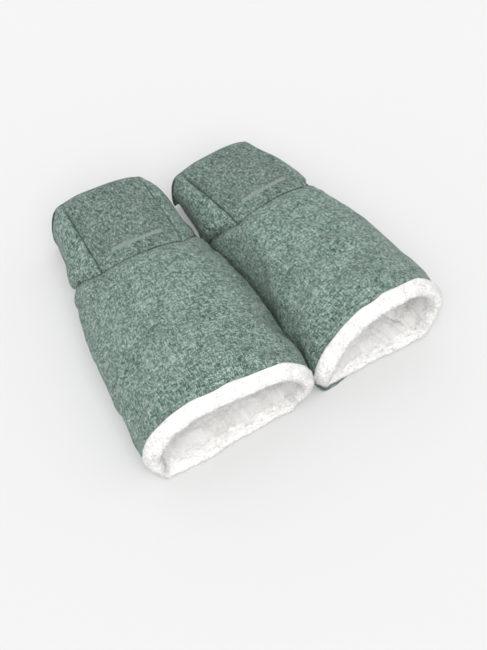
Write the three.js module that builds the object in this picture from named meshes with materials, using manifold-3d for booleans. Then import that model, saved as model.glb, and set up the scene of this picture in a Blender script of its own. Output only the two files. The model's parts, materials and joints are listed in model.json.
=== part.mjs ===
// A pair of pushchair hand muffs, lying side by side. Each muff is a padded, fleece-lined sleeve that a
// hand goes into, with a boxed hood at its far end that closes round the pushchair's push bar.
// The hood has a crown panel, two gussets, a tongue below the bar and an end flap that is hinged at the
// crown's far edge and snaps shut on the tongue's upturned lip with two press studs.
// Units are millimetres, +Z is up, the mouths face -Y and the push bar runs along X.
import * as THREE from "three";
import { mergeVertices } from "three/addons/utils/BufferGeometryUtils.js";
import Module from "manifold-3d";

const wasm = await Module();
wasm.setup();

// ---- Driving dimensions -------------------------------------------------------------------------

// Thickness of each cloth layer, and the gap kept between two layers.
const SHELL = 1.2;
const WADDING = 3.5;
const FLEECE = 5;
const GAP = 0.35;

// Depths below the outer skin at which each layer starts and ends.
const SHELL_LAYER = [0, SHELL];
const WADDING_LAYER = [SHELL + GAP, SHELL + GAP + WADDING];
const SLEEVE_FLEECE_LAYER = [WADDING_LAYER[1] + GAP, WADDING_LAYER[1] + GAP + FLEECE];
const HOOD_FLEECE_LAYER = [SHELL + 2 * GAP, SHELL + 2 * GAP + FLEECE];

// Along the muff, from the mouth at y = 0.
const RIM_FRONT = -12; // the fleece roll stands this far out of the mouth
// The lower lip stands this much further out than that, at its left and right ends.
const LEFT_LIP_LEAD = [8, 2];
const RIGHT_LIP_LEAD = [-10, 4];
const SHELL_FRONT = 8; // the outer shell starts here, behind the roll
const RIM_DEPTH = 15; // thickness of the roll
const SEAM_Y = 200; // the cross seam at the crown's corners
const SEAM_SLANT = 0.55; // down to the floor, the seam runs back by this much for each mm of height
const END_Y = 318; // outer face of the end flap
const END_RADIUS = 18; // the crown turns down into the end flap round this radius
const FOLD_Y = END_Y - END_RADIUS; // the flap's hinge line

// The end flap, the tongue below it and the bar slots beside it.
const FLAP_BOTTOM = 5;
const SNAP_HEIGHT = 20;
const SNAP_SPACING = 48;
const SNAP_COUNT = 2;
const FLAP_FLEECE_BOTTOM = 42; // below this the flap's inside is plain, where the studs are
const HOOD_END_MARGIN = 13.5; // gussets and linings stop this far inside the flap's outer face
const HOOD_LINING_START = 2; // the hood's lining starts this far behind the cross seam
const LIP_FACE = 6.3; // the lip's outer face is this far inside the flap's outer face
const LIP_THICKNESS = 1.6;
const LIP_HEIGHT = 32;
const LIP_HALF_WIDTH = 46;
const LIP_BEND = 8;

// A gusset's free lower edge climbs from the first of these to the second, as shares of the girth above
// the floor edge. The push bar passes below it.
const SLOT_EDGE = [0.06, 0.115];

// The girth is a closed curve through eight points, which the panels are cut at.
const RIGHT_EDGE = 1 / 8;
const RIGHT_CORNER = 3 / 8;
const LEFT_CORNER = 5 / 8;
const LEFT_EDGE = 7 / 8;
const EDGE_GAP = 0.0012; // keeps neighbouring panels apart, as a share of the girth
const GIRTH_STEPS = 32; // every layer has its corners at these steps, so that layers stay parallel

// Each station: distance from the mouth, half-widths on the floor to the left and to the right, the same
// where the muff is widest, the height of that, half-width and height of the crown's corners, height of
// the top.
const LEFT_STATIONS = [
  [0, 79, 71, 98, 94, 44, 66, 88, 98],
  [60, 78, 76, 99, 96, 42, 62, 86, 96],
  [130, 74, 74, 96, 94, 40, 55, 82, 92],
  [190, 66, 66, 84, 87, 39, 48, 79, 88],
  [225, 61, 61, 73, 78, 38, 48, 78, 86],
  [265, 57, 57, 66, 71, 38, 48, 78, 85],
  [318, 55, 55, 62, 62, 36, 48, 76, 81],
];
const RIGHT_STATIONS = [
  [0, 72, 62, 86, 83, 46, 51, 100, 113],
  [60, 67, 64, 79, 86, 45, 52, 94, 105],
  [130, 62, 62, 70, 86, 42, 51, 86, 97],
  [190, 58, 58, 66, 76, 39, 47, 79, 89],
  [225, 56, 56, 65, 71, 38, 47, 77, 86],
  [265, 53, 53, 61, 66, 37, 47, 75, 83],
  [318, 50, 50, 57, 59, 35, 47, 71, 76],
];

// The muffs lie a little splayed, with their hoods closer together than their mouths. The right one has
// slumped, with a rounder mouth and its sleeve pushed this much shorter.
const MOUTH_SPACING = 184;
const SPLAY = THREE.MathUtils.degToRad(4);
const RIGHT_SLUMP = 12;

// ---- Materials ----------------------------------------------------------------------------------

const shellCloth = new THREE.MeshStandardMaterial({ color: 0x6f9284, roughness: 0.95, metalness: 0 });
const fleeceCloth = new THREE.MeshStandardMaterial({ color: 0xf4f2ee, roughness: 1, metalness: 0 });
const waddingFibre = new THREE.MeshStandardMaterial({ color: 0xe6e4dc, roughness: 1, metalness: 0 });
const snapMetal = new THREE.MeshStandardMaterial({ color: 0xa9adb0, roughness: 0.35, metalness: 0.9 });

// ---- The outer skin -----------------------------------------------------------------------------

// The station values at a distance from the mouth, between the two nearest stations.
function stationAt(stations, y) {
  const last = stations.length - 1;
  const next = stations.findIndex((station) => station[0] > y);
  if (next === 0) return stations[0];
  if (next < 0) return stations[last];
  const [before, after] = [stations[next - 1], stations[next]];
  const share = (y - before[0]) / (after[0] - before[0]);
  return before.map((value, i) => THREE.MathUtils.lerp(value, after[i], share));
}

function girthCurve(stations, y) {
  const [, floorLeft, floorRight, left, right, sideHeight, corner, cornerHeight, top] =
    stationAt(stations, y);
  const points = [
    [0, 0],
    [floorRight, 0],
    [right, sideHeight],
    [corner, cornerHeight],
    [0, top],
    [-corner, cornerHeight],
    [-left, sideHeight],
    [-floorLeft, 0],
  ];
  return new THREE.CatmullRomCurve3(
    points.map(([x, z]) => new THREE.Vector3(x, 0, z)),
    true,
  );
}

// A point of the skin, or at a depth below it. share runs round the girth, anticlockwise from the middle
// of the underside as seen from the mouth.
function skinPoint(stations, share, y, depth) {
  const curve = girthCurve(stations, y);
  const onFloor = (s) => {
    const point = curve.getPoint(((s % 1) + 1) % 1);
    point.z = Math.max(0, point.z);
    return point;
  };
  const step = 0.004;
  const along = onFloor(share + step).sub(onFloor(share - step)).normalize();
  const inward = new THREE.Vector3(-along.z, 0, along.x);
  const point = onFloor(share).addScaledVector(inward, depth);
  point.y = y;
  return point;
}

// Where the cross seam lies at this place on the girth.
function seamY(stations, share) {
  const cornerHeight = stationAt(stations, SEAM_Y)[7];
  const drop = Math.max(0, cornerHeight - skinPoint(stations, share, SEAM_Y, 0).z);
  return SEAM_Y + SEAM_SLANT * drop * (1.5 - (0.5 * drop) / cornerHeight);
}

// The flap's outer face at a height: upright, and turned over at the top.
function endY(stations, height) {
  const below = stationAt(stations, FOLD_Y)[8] - END_RADIUS;
  if (height <= below) return END_Y;
  const rise = Math.min(height - below, END_RADIUS);
  return FOLD_Y + Math.sqrt(END_RADIUS ** 2 - rise ** 2);
}

// ---- Solids from surfaces -----------------------------------------------------------------------

// A closed solid between two copies of a surface. point(u, v, side) gives the outer copy at side 0 and
// the inner one at side 1, for u and v from 0 to 1. A tube closes on itself in u.
function slab(point, columns, rows, tube = false) {
  const across = tube ? columns : columns + 1;
  const at = (side, i, j) => side * across * (rows + 1) + (i % across) * (rows + 1) + j;
  const positions = [];
  for (const side of [0, 1])
    for (let i = 0; i < across; i++)
      for (let j = 0; j <= rows; j++) positions.push(...point(i / columns, j / rows, side).toArray());
  const index = [];
  const quad = (a, b, c, d) => index.push(a, b, c, a, c, d);
  for (let i = 0; i < columns; i++) {
    for (let j = 0; j < rows; j++) {
      quad(at(0, i, j), at(0, i, j + 1), at(0, i + 1, j + 1), at(0, i + 1, j));
      quad(at(1, i, j), at(1, i + 1, j), at(1, i + 1, j + 1), at(1, i, j + 1));
    }
    quad(at(0, i, 0), at(0, i + 1, 0), at(1, i + 1, 0), at(1, i, 0));
    quad(at(0, i + 1, rows), at(0, i, rows), at(1, i, rows), at(1, i + 1, rows));
  }
  for (let j = 0; j < rows && !tube; j++) {
    quad(at(0, 0, j), at(1, 0, j), at(1, 0, j + 1), at(0, 0, j + 1));
    quad(at(0, columns, j + 1), at(1, columns, j + 1), at(1, columns, j), at(0, columns, j));
  }
  const geometry = new THREE.BufferGeometry();
  geometry.setAttribute("position", new THREE.Float32BufferAttribute(positions, 3));
  geometry.setIndex(index);
  return geometry;
}

// A ring whose section is swept round the girth. point(u, v) closes on itself both ways.
function ring(point, columns, rows) {
  const at = (i, j) => (i % columns) * rows + (j % rows);
  const positions = [];
  for (let i = 0; i < columns; i++)
    for (let j = 0; j < rows; j++) positions.push(...point(i / columns, j / rows).toArray());
  const index = [];
  for (let i = 0; i < columns; i++)
    for (let j = 0; j < rows; j++)
      index.push(at(i, j), at(i, j + 1), at(i + 1, j + 1), at(i, j), at(i + 1, j + 1), at(i + 1, j));
  const geometry = new THREE.BufferGeometry();
  geometry.setAttribute("position", new THREE.Float32BufferAttribute(positions, 3));
  geometry.setIndex(index);
  return geometry;
}

function toSolid(geometry) {
  const bare = geometry.clone();
  bare.deleteAttribute("normal");
  bare.deleteAttribute("uv");
  const merged = mergeVertices(bare, 1e-4);
  return new wasm.Manifold(
    new wasm.Mesh({
      numProp: 3,
      vertProperties: merged.attributes.position.array,
      triVerts: new Uint32Array(merged.index.array),
    }),
  );
}

function toGeometry(solid) {
  const mesh = solid.getMesh();
  const geometry = new THREE.BufferGeometry();
  geometry.setAttribute("position", new THREE.BufferAttribute(mesh.vertProperties, 3));
  geometry.setIndex(new THREE.BufferAttribute(mesh.triVerts, 1));
  return geometry;
}

// A piece turned round the Y axis from [radius, distance along Y] corners, standing at a place.
function turned(corners, place) {
  const profile = corners.map(([radius, along]) => new THREE.Vector2(radius, along));
  const geometry = new THREE.LatheGeometry(profile, SNAP_SIDES);
  return geometry.translate(place.x, place.y, place.z);
}

// Holes along Y, cut right through a geometry.
function drilled(geometry, radius, places) {
  let solid = toSolid(geometry);
  for (const place of places) {
    const drill = new THREE.CylinderGeometry(radius, radius, DRILL_LENGTH, SNAP_SIDES);
    drill.translate(place.x, place.y, place.z);
    solid = solid.subtract(toSolid(drill));
  }
  return toGeometry(solid);
}

// ---- Press studs --------------------------------------------------------------------------------

const SNAP_SIDES = 10;
const DRILL_LENGTH = 4;
const SNAP_RADIUS = 5.7;
const CAP_RADIUS = 6.2;
const SHANK_RADIUS = 1.6;
const SHANK_HOLE = 2.1;
const STUD_RADIUS = 2.8;
const SOCKET_RADIUS = 3.4;

// The four pieces of one press stud. Distances are along Y, from the flap's outer face.
const CAP_PROFILE = [
  [0, -2.2],
  [SHANK_RADIUS, -2.2],
  [SHANK_RADIUS, GAP],
  [CAP_RADIUS, GAP],
  [CAP_RADIUS - 0.6, 1.5],
  [CAP_RADIUS * 0.6, 2.1],
  [0, 2.3],
];
const SOCKET_PROFILE = [
  [SHANK_HOLE, -2.5],
  [SOCKET_RADIUS, -2.5],
  [SOCKET_RADIUS, -4.7],
  [SNAP_RADIUS - 0.8, -4.7],
  [SNAP_RADIUS, -2.4],
  [SNAP_RADIUS, -1.5],
  [SHANK_HOLE, -1.5],
  [SHANK_HOLE, -2.5],
];
const STUD_PROFILE = [
  [0, -5.3],
  [SHANK_HOLE, -5.3],
  [SHANK_HOLE, -6.0],
  [SNAP_RADIUS, -6.0],
  [SNAP_RADIUS, -5.0],
  [STUD_RADIUS - 0.4, -5.0],
  [STUD_RADIUS, -3.8],
  [STUD_RADIUS - 0.6, -3.0],
  [0, -2.9],
];
const POST_PROFILE = [
  [0, -9.2],
  [SNAP_RADIUS - 0.6, -9.2],
  [SNAP_RADIUS - 0.2, -8.2],
  [SHANK_RADIUS, -8.2],
  [SHANK_RADIUS, -5.6],
  [0, -5.6],
];

function snapPlaces() {
  const middle = (SNAP_COUNT - 1) / 2;
  return Array.from(
    { length: SNAP_COUNT },
    (_, i) => new THREE.Vector3((i - middle) * SNAP_SPACING, END_Y, SNAP_HEIGHT),
  );
}

// ---- The pieces of one muff ---------------------------------------------------------------------

// A panel of the sleeve between two places on the girth.
function sleevePanel(stations, [from, to], layer, rows, tube = false) {
  const margin = tube ? 0 : EDGE_GAP;
  return slab(
    (u, v, side) => {
      const step = THREE.MathUtils.lerp(from, to, u);
      const share = THREE.MathUtils.clamp(step, from + margin, to - margin);
      const y = THREE.MathUtils.lerp(SHELL_FRONT, seamY(stations, share) - GAP, v);
      return skinPoint(stations, share, y, layer[side]);
    },
    Math.round((to - from) * GIRTH_STEPS),
    rows,
    tube,
  );
}

// The fleece roll round the mouth: an oval section, swept round the girth.
function fleeceRim(stations, [leftLead, rightLead], rows) {
  const middleY = (RIM_FRONT + SHELL_FRONT - GAP) / 2;
  const back = SHELL_FRONT - GAP - middleY;
  const [, floorLeft, floorRight, , , widestHeight] = stationAt(stations, 0);
  return ring(
    (u, v) => {
      const turn = v * 2 * Math.PI;
      const depth = (RIM_DEPTH / 2) * (1 - Math.cos(turn));
      const point = skinPoint(stations, u, 0, depth);
      const across = THREE.MathUtils.clamp((point.x + floorLeft) / (floorLeft + floorRight), 0, 1);
      const low = THREE.MathUtils.smoothstep(widestHeight - point.z, 0, widestHeight);
      const lead = low * THREE.MathUtils.lerp(leftLead, rightLead, across);
      const reach = turn > Math.PI ? back + lead : back;
      point.y = middleY + reach * Math.sin(turn);
      return point;
    },
    GIRTH_STEPS,
    rows,
  );
}

// The crown panel, from the cross seam to the flap's hinge line.
function crownPanel(stations, rows) {
  return slab(
    (u, v, side) => {
      const step = THREE.MathUtils.lerp(RIGHT_CORNER, LEFT_CORNER, u);
      const share = THREE.MathUtils.clamp(step, RIGHT_CORNER + EDGE_GAP, LEFT_CORNER - EDGE_GAP);
      const y = THREE.MathUtils.lerp(seamY(stations, share) + GAP, FOLD_Y - GAP, v);
      return skinPoint(stations, share, y, SHELL_LAYER[side]);
    },
    (LEFT_CORNER - RIGHT_CORNER) * GIRTH_STEPS,
    rows,
  );
}

// Steps round the right half of the hood at v of its length, from the gusset's free lower edge up to a
// place on the girth. The first step takes up the climb of that edge.
function hoodShares(v, to) {
  const edge = RIGHT_EDGE + THREE.MathUtils.lerp(...SLOT_EDGE, v);
  const first = RIGHT_EDGE + 4 / GIRTH_STEPS;
  const count = Math.round((to - first) * GIRTH_STEPS);
  const above = Array.from({ length: count + 1 }, (_, i) => first + i / GIRTH_STEPS);
  return [edge, ...above];
}

// A gusset, on the right (side 1) or the left (side -1). Its lower edge is free and leaves the slot that
// the push bar lies in.
function gussetPanel(stations, hand, rows) {
  const columns = hoodShares(0, RIGHT_CORNER).length - 1;
  return slab(
    (u, v, side) => {
      const shares = hoodShares(v, RIGHT_CORNER);
      shares[columns] -= EDGE_GAP;
      const i = Math.round(u * columns);
      const share = hand > 0 ? shares[i] : 1 - shares[columns - i];
      const far = endY(stations, skinPoint(stations, share, FOLD_Y, 0).z) - HOOD_END_MARGIN;
      const y = THREE.MathUtils.lerp(seamY(stations, share) + GAP, far, v);
      return skinPoint(stations, share, y, SHELL_LAYER[side]);
    },
    columns,
    rows,
  );
}

// The hood's fleece lining, under the crown and both gussets.
function hoodLining(stations, rows) {
  const half = hoodShares(0, 0.5).length - 1;
  const columns = 2 * half;
  return slab(
    (u, v, side) => {
      const shares = hoodShares(v, 0.5);
      const i = Math.round(u * columns);
      const share = i <= half ? shares[i] : 1 - shares[columns - i];
      const far = endY(stations, skinPoint(stations, share, FOLD_Y, 0).z) - HOOD_END_MARGIN;
      const stop = Math.min(far, FOLD_Y - GAP);
      const y = THREE.MathUtils.lerp(seamY(stations, share) + HOOD_LINING_START, stop, v);
      return skinPoint(stations, share, y, HOOD_FLEECE_LAYER[side]);
    },
    columns,
    rows,
  );
}

// Half-width of the hood's end at a height, on the right (side 1) or the left (side -1).
function endHalfWidth(stations, height, side) {
  const [, floorLeft, floorRight, left, right, sideHeight, corner, cornerHeight] =
    stationAt(stations, FOLD_Y);
  const widest = side > 0 ? right : left;
  const floor = side > 0 ? floorRight : floorLeft;
  if (height >= cornerHeight) return corner;
  if (height >= sideHeight)
    return THREE.MathUtils.mapLinear(height, sideHeight, cornerHeight, widest, corner);
  return THREE.MathUtils.mapLinear(height, 0, sideHeight, floor, widest);
}

// A layer of the end flap, from the hinge line over the turned edge and down to a height.
function flapPanel(stations, layer, bottom, inset, columns, rows) {
  const arc = (Math.PI / 2) * END_RADIUS;
  const turnTop = stationAt(stations, FOLD_Y)[8];
  const length = arc + turnTop - END_RADIUS - bottom;
  return slab(
    (u, v, side) => {
      const share = THREE.MathUtils.lerp(RIGHT_CORNER, LEFT_CORNER, u);
      const root = skinPoint(stations, share, FOLD_Y, 0);
      const travelled = v * length;
      const turn = Math.min(travelled / END_RADIUS, Math.PI / 2);
      const radius = END_RADIUS - layer[side];
      const sunk = turnTop - root.z;
      const straight = Math.max(0, travelled - arc) * (1 - sunk / (length - arc));
      const height = root.z - END_RADIUS + radius * Math.cos(turn) - straight;
      const half = endHalfWidth(stations, height, Math.sign(root.x)) - inset;
      const spread = THREE.MathUtils.lerp(1, half / stationAt(stations, FOLD_Y)[6], Math.sin(turn));
      const y = FOLD_Y + GAP + (radius - GAP) * Math.sin(turn);
      return new THREE.Vector3(root.x * spread, y, height);
    },
    columns,
    rows,
  );
}

// The tongue under the push bar, with the lip at its far end that carries the studs.
function tonguePanel(stations, columns, rows) {
  const start = seamY(stations, 0) + GAP;
  const face = END_Y - LIP_FACE;
  const flat = face - LIP_BEND - start;
  const arc = (Math.PI / 2) * LIP_BEND;
  const length = flat + arc + LIP_HEIGHT - LIP_BEND;
  return slab(
    (u, v, side) => {
      const travelled = v * length;
      const turn = THREE.MathUtils.clamp((travelled - flat) / LIP_BEND, 0, Math.PI / 2);
      const radius = LIP_BEND - side * LIP_THICKNESS;
      const y = start + Math.min(travelled, flat) + radius * Math.sin(turn);
      const rise = Math.max(0, travelled - flat - arc);
      const height = LIP_BEND - radius * Math.cos(turn) + rise;
      const floor = stationAt(stations, y)[1] - 1;
      const half = THREE.MathUtils.lerp(floor, LIP_HALF_WIDTH, Math.min(1, v * v));
      return new THREE.Vector3(half * (2 * u - 1), y, height);
    },
    columns,
    rows,
  );
}

// The fleece on the tongue.
function tongueLining(stations, columns, rows) {
  const start = seamY(stations, 0) + GAP;
  const stop = END_Y - LIP_FACE - LIP_THICKNESS - 2 * LIP_BEND;
  return slab(
    (u, v, side) => {
      const y = THREE.MathUtils.lerp(start, stop, v);
      const half = stationAt(stations, y)[1] - 8;
      const height = LIP_THICKNESS + GAP + side * FLEECE;
      return new THREE.Vector3(half * (2 * u - 1), y, height);
    },
    columns,
    rows,
  );
}

// ---- Assembly -----------------------------------------------------------------------------------

function buildMuff(side, stations, lipLead) {
  const muff = new THREE.Group();
  const add = (name, geometry, material) => {
    const mesh = new THREE.Mesh(geometry, material);
    mesh.name = `${side}_${name}`;
    muff.add(mesh);
  };
  const arch = [RIGHT_EDGE, LEFT_EDGE];
  const base = [LEFT_EDGE - 1, RIGHT_EDGE];
  const round = [0, 1];

  add("sleeve_upper_shell", sleevePanel(stations, arch, SHELL_LAYER, 4), shellCloth);
  add("sleeve_base_shell", sleevePanel(stations, base, SHELL_LAYER, 4), shellCloth);
  add("sleeve_wadding", sleevePanel(stations, round, WADDING_LAYER, 4, true), waddingFibre);
  add("sleeve_lining", sleevePanel(stations, round, SLEEVE_FLEECE_LAYER, 4, true), fleeceCloth);
  add("mouth_rim", fleeceRim(stations, lipLead, 8), fleeceCloth);

  add("crown_panel", crownPanel(stations, 4), shellCloth);
  add("gusset_right", gussetPanel(stations, 1, 4), shellCloth);
  add("gusset_left", gussetPanel(stations, -1, 4), shellCloth);
  add("hood_lining", hoodLining(stations, 4), fleeceCloth);

  const places = snapPlaces();
  const lipPlaces = places.map((place) => place.clone().setY(END_Y - LIP_FACE));
  const flap = flapPanel(stations, SHELL_LAYER, FLAP_BOTTOM, 0, 8, 10);
  add("end_flap", drilled(flap, SHANK_HOLE, places), shellCloth);
  add(
    "flap_lining",
    flapPanel(stations, HOOD_FLEECE_LAYER, FLAP_FLEECE_BOTTOM, 3, 8, 6),
    fleeceCloth,
  );
  add("tongue", drilled(tonguePanel(stations, 6, 12), SHANK_HOLE, lipPlaces), shellCloth);
  add("tongue_lining", tongueLining(stations, 4, 2), fleeceCloth);

  places.forEach((place, i) => {
    add(`snap_cap_${i + 1}`, turned(CAP_PROFILE, place), snapMetal);
    add(`snap_socket_${i + 1}`, turned(SOCKET_PROFILE, place), snapMetal);
    add(`snap_stud_${i + 1}`, turned(STUD_PROFILE, place), snapMetal);
    add(`snap_post_${i + 1}`, turned(POST_PROFILE, place), snapMetal);
  });
  return muff;
}

// Pushes the sleeve shorter along Y, evenly, and carries the hood along with it.
function pushShorter(geometry, amount) {
  const position = geometry.attributes.position;
  for (let i = 0; i < position.count; i++) {
    const share = THREE.MathUtils.clamp(position.getY(i) / SEAM_Y, 0, 1);
    position.setY(i, position.getY(i) - amount * share);
  }
}

const leftMuff = buildMuff("left", LEFT_STATIONS, LEFT_LIP_LEAD);
leftMuff.position.x = -MOUTH_SPACING / 2;
leftMuff.rotation.z = -SPLAY;

const rightMuff = buildMuff("right", RIGHT_STATIONS, RIGHT_LIP_LEAD);
for (const mesh of rightMuff.children) pushShorter(mesh.geometry, RIGHT_SLUMP);
rightMuff.position.x = MOUTH_SPACING / 2;
rightMuff.rotation.z = SPLAY;

const pair = new THREE.Group();
pair.add(leftMuff, rightMuff);

// The origin is at the middle of the pair's footprint, on the surface that it lies on.
pair.updateMatrixWorld(true);
const bounds = new THREE.Box3().setFromObject(pair, true);
const middle = bounds.getCenter(new THREE.Vector3());
pair.position.set(-middle.x, -middle.y, -bounds.min.z);

export default pair;
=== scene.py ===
"""A pair of fleece-lined hand muffs for a pushchair's push bar, side by side on a pale floor.

Every surface is worked out in a muff's own frame, in millimetres: the mouth is at y = 0, the hood
is at +y and +z is up. Muff.place() turns that into metres in the row frame. A muff's outer skin is
a closed girth curve at each distance from the mouth, and a place on it is (share of the girth, y).
"""
import json
import math
from collections import namedtuple

import bpy
import numpy as np
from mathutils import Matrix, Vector


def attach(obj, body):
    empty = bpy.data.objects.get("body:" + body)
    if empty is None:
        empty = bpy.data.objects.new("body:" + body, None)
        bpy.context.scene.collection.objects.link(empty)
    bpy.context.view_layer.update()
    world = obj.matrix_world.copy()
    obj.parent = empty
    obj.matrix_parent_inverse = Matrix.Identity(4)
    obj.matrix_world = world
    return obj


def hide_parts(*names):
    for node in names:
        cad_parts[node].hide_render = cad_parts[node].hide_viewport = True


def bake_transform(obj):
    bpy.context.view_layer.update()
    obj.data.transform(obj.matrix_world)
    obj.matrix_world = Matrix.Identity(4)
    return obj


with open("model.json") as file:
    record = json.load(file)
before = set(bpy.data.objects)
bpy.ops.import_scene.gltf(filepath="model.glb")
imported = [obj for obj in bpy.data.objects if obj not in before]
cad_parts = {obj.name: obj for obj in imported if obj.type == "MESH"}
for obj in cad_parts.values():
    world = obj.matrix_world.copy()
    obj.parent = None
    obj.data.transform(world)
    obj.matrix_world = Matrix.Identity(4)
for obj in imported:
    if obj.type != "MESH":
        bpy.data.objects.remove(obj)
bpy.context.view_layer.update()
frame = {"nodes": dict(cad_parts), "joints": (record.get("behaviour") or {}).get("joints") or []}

# ---- Driving sizes, in millimetres ----

CLOTH = 1.2
SEAM_Y = 200  # the cross seam, between the sleeve and the hood
SEAM_SLANT = 0.55
END_Y = 318
END_RADIUS = 18
FOLD_Y = END_Y - END_RADIUS
FLAP_BOTTOM = 5
LIP_FACE = 6.3
LIP_HEIGHT = 32
LIP_HALF_WIDTH = 46
LIP_BEND = 8
CROWN_LENGTH = FOLD_Y - SEAM_Y
CROWN_HALF_WIDTH = 52
CROWN_SPAN = 96  # from side seam to side seam
TURN_LENGTH = math.pi / 2 * END_RADIUS

# At a seam one panel's edge lies on top, and its neighbour's runs on beneath it.
TOP_DIP = 1.4
UNDER_DIP = 2.9
UNDERLAP = 2.0
SEAM_WIDTH = 3.2

# The fleece roll round the mouth: its reach, its thickness, and how much further its lower lip
# reaches at the lip's left and right ends. A lip that reaches less far is drawn back into the
# sleeve. The shell reaches this far beyond the lip at the lower left.
ROLL_REACH = 13.5
ROLL_THICKNESS = 16.3
LIP_LEAD = {"left": (4, -7), "right": (-11, 0)}
SHELL_LEAD = {"left": 0, "right": 4.5}
CREASE = {"left": (0.95, 50), "right": (0.083, 25)}  # share and y of a fold in the lining's floor
ROUNDING = 6  # how softly the sleeve's corners turn

# Fleece, as depths below the skin: its outer and inner faces in the sleeve, hood and end flap.
SLEEVE_FLEECE = (4.3, 9.5)
LINING_FRONT, LINING_END = 14, 238  # from where it widens into the roll to inside the hood
HOOD_FLEECE = (4.6, 8.8)
FLAP_FLEECE = (2.0, 6.2)
FLAP_FLEECE_BOTTOM = 36
FLAP_FLEECE_INSET = 8

# The girth's eight points are a share of 1/8 apart: 0 is the middle of the underside.
RIGHT_CORNER = 3 / 8
LEFT_CORNER = 5 / 8
GIRTH = 520
SLOT_EDGE = (0.185, 0.24)  # the gusset's free lower edge, at the cross seam and at the far end
SLOT_START = 0.128  # where that edge's hem starts, on the sleeve's end
BARTACK_SHARE = 0.29

# How far short of the end flap's outer face these stop.
GUSSET_STOP = 2.4
HEM_STOP = 3
HOOD_FLEECE_STOP = 13.5

# A hand is 1 on a muff's right side and -1 on its left.
HAND_NAMES = {1: "right", -1: "left"}

# Cloth widths that the weave is laid out to, across each panel.
CROWN_WIDTH = 100
GUSSET_WIDTH = 62
TONGUE_WIDTH = 110
TONGUE_THICKNESS = 1.6

# Two places beside the fold, one before it and one after, at this height.
BLEND_BEFORE, BLEND_AFTER = 3, 9
BLEND_HEIGHT = 70

# The printed bar: where it lies across and along the crown, and its faces above the cloth.
PRINT_ACROSS = (0.2, 0.78)
PRINT_ALONG = (14, 19)
PRINT_PROUD = (0.18, 0.02)

# y, half-widths on the floor to the left and to the right, the same where the muff is widest, the
# height of that, half-width and height of the crown's corners, height of the top.
Section = namedtuple("Section", "floor_left floor_right left right side_z corner corner_z top")
STATIONS = {
    "left": [
        (-24, 84, 69, 97, 92, 43, 66, 85, 95),
        (0, 85, 71, 99, 94, 44, 66, 88, 98),
        (60, 80, 76, 99, 96, 42, 62, 86, 96),
        (130, 74, 74, 96, 94, 40, 55, 82, 92),
        (190, 66, 66, 84, 86, 39, 48, 79, 88),
        (225, 61, 61, 73, 75, 38, 48, 78, 86),
        (265, 57, 57, 66, 69, 38, 48, 78, 85),
        (318, 55, 55, 62, 62, 36, 48, 76, 81),
    ],
    "right": [
        (-24, 71, 61, 84, 81, 45, 51, 97, 110),
        (0, 72, 62, 86, 83, 46, 51, 100, 113),
        (60, 67, 64, 79, 86, 45, 52, 94, 105),
        (130, 62, 62, 70, 84, 42, 51, 86, 97),
        (190, 58, 58, 66, 71, 39, 47, 79, 89),
        (225, 56, 56, 65, 69, 38, 47, 77, 86),
        (265, 53, 53, 61, 66, 37, 47, 75, 83),
        (318, 50, 50, 57, 59, 35, 47, 71, 76),
    ],
}
SLUMP = {"left": 0, "right": 12}  # how much shorter the sleeve has been pushed

# The padded hood's far end bows outwards and sags, and its top corners, left and right, hang down a
# little. The droop starts this far beyond the cross seam and this high, and grows over this much.
END_BOW = {"left": 2, "right": 0}
END_SAG = {"left": 0, "right": 8}
CORNER_DROOP = {"left": (0, 3), "right": (1, 6)}
DROOP_START, DROOP_RUN = 20, 90
DROOP_FOOT, DROOP_RISE = 30, 35
DROOP_LIMIT = 1.3  # of the crown's half-width, where the corners' droop stops growing

# Each gusset's bulge, left and right, and its place: 1 is half-way, more is nearer the far end.
GUSSET_BULGE = {"left": ((7, 0.8), (7, 2.2)), "right": ((8, 0.8), (5, 1))}

# Soft folds in the sleeve: share, y, direction in degrees from the muff's length, length, width,
# rise. A fold wanders this far to each side, and turns over this length.
FOLD_WANDER, FOLD_TURN = 6, 30
FOLDS = {
    "left": [
        (0.47, 150, 70, 70, 13, 1.8),
        (0.56, 95, 40, 90, 16, 1.8),
        (0.40, 60, 100, 60, 14, 1.6),
        (0.62, 180, 20, 50, 10, 2.0),
        (0.64, 148, 66, 25, 7, -2.6),
        (0.38, 170, -25, 60, 10, 2.0),
        (0.66, 40, 60, 60, 14, 2.0),
    ],
    "right": [
        (0.50, 120, 35, 90, 14, 2.8),
        (0.44, 70, 75, 60, 14, -2.6),
        (0.62, 148, 66, 22, 7, -3.4),
        (0.49, 96, 74, 32, 8, 4.0),
        (0.47, 113, 74, 38, 8, -3.6),
        (0.54, 112, 19, 25, 6, -3.0),
        (0.60, 90, 15, 80, 13, 2.6),
        (0.40, 150, -30, 60, 10, 2.4),
        (0.52, 35, 80, 80, 14, 2.0),
    ],
}

# The sleeve's general unevenness: rise, cells round the girth, and each cell's length along the
# muff.
UNEVENNESS = [(1.3, 9, 55), (0.6, 22, 22), (0.2, 60, 8)]
UNEVENNESS_SEED = {"left": 7, "right": 8}

# The cloth simulation of the sleeve: its cage, its growth beyond the shape, its frames, its largest
# move, and the height below which the cage is held.
CAGE = (96, 50)
CLOTH_GROWTH = 0.03
CLOTH_FRAMES = 20
LARGEST_MOVE = 4.0
HELD_BELOW = 6

# How the sleeve's relief fades in from the floor, the cross seam and the mouth.
FLOOR_FADE = 25
SEAM_FADE = 25
MOUTH_FADE = 20


# ---- Noise and surfaces ----

def smooth(t):
    t = np.clip(t, 0, 1)
    return t * t * (3 - 2 * t)


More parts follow.
